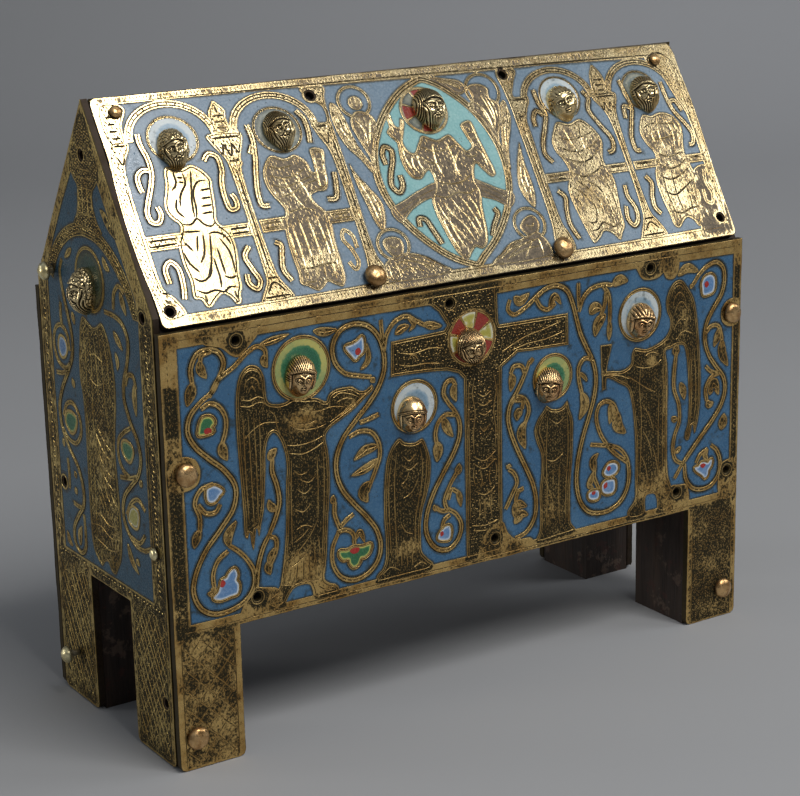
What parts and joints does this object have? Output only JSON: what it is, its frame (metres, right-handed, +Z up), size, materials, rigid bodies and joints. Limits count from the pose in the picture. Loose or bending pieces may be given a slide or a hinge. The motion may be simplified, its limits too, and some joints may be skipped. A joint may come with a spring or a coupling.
{
  "type": "reliquary casket",
  "caption": "gabled box on square legs, oak core faced with blue enamelled and gilt copper plates, cast heads in relief and domed nails",
  "frame": {"origin": "on the floor, below the middle of the whole box", "axes": "+X along the ridge to the right end, +Y to the back, +Z up; the front with the cross faces -Y"},
  "size_m": [0.3054, 0.1223, 0.2565],
  "materials": {
    "oak_core": "old dark oak with remains of pale paint",
    "enamelled_copper": "champleve enamel, blue ground, worn gilt copper figures and borders",
    "gilt_copper": "cast and gilt copper, rubbed",
    "copper_nail": "polished copper, darkened round the rim"
  },
  "bodies": {
    "root": {"core_end_left": "oak_core", "core_end_right": "oak_core", "core_front_board": "oak_core", "core_back_board": "oak_core", "core_bottom_board": "oak_core", "core_roof_board_front": "oak_core", "core_roof_board_back": "oak_core", "plate_front": "enamelled_copper", "plate_back": "enamelled_copper", "plate_roof_front": "enamelled_copper", "plate_roof_back": "enamelled_copper", "plate_gable_left": "enamelled_copper", "plate_gable_right": "enamelled_copper", "head_angel_left": "gilt_copper", "head_mourner_left": "gilt_copper", "head_crucified": "gilt_copper", "head_mourner_right": "gilt_copper", "head_angel_right": "gilt_copper", "head_apostle_1": "gilt_copper", "head_apostle_2": "gilt_copper", "head_majesty": "gilt_copper", "head_apostle_3": "gilt_copper", "head_apostle_4": "gilt_copper", "head_gable_left": "gilt_copper", "head_gable_right": "gilt_copper", "nail_front_1": "copper_nail", "nail_front_2": "copper_nail", "nail_front_3": "copper_nail", "nail_front_4": "copper_nail", "nail_roof_front_1": "copper_nail", "nail_roof_front_2": "copper_nail", "nail_roof_front_3": "copper_nail", "nail_roof_front_4": "copper_nail", "nail_gable_left_1": "copper_nail", "nail_gable_left_2": "copper_nail", "nail_gable_left_3": "copper_nail", "nail_back_1": "copper_nail", "nail_back_2": "copper_nail", "nail_back_3": "copper_nail", "nail_back_4": "copper_nail", "nail_roof_back_1": "copper_nail", "nail_roof_back_2": "copper_nail", "nail_roof_back_3": "copper_nail", "nail_roof_back_4": "copper_nail", "nail_gable_right_1": "copper_nail", "nail_gable_right_2": "copper_nail", "nail_gable_right_3": "copper_nail"}
  },
  "joints": []
}
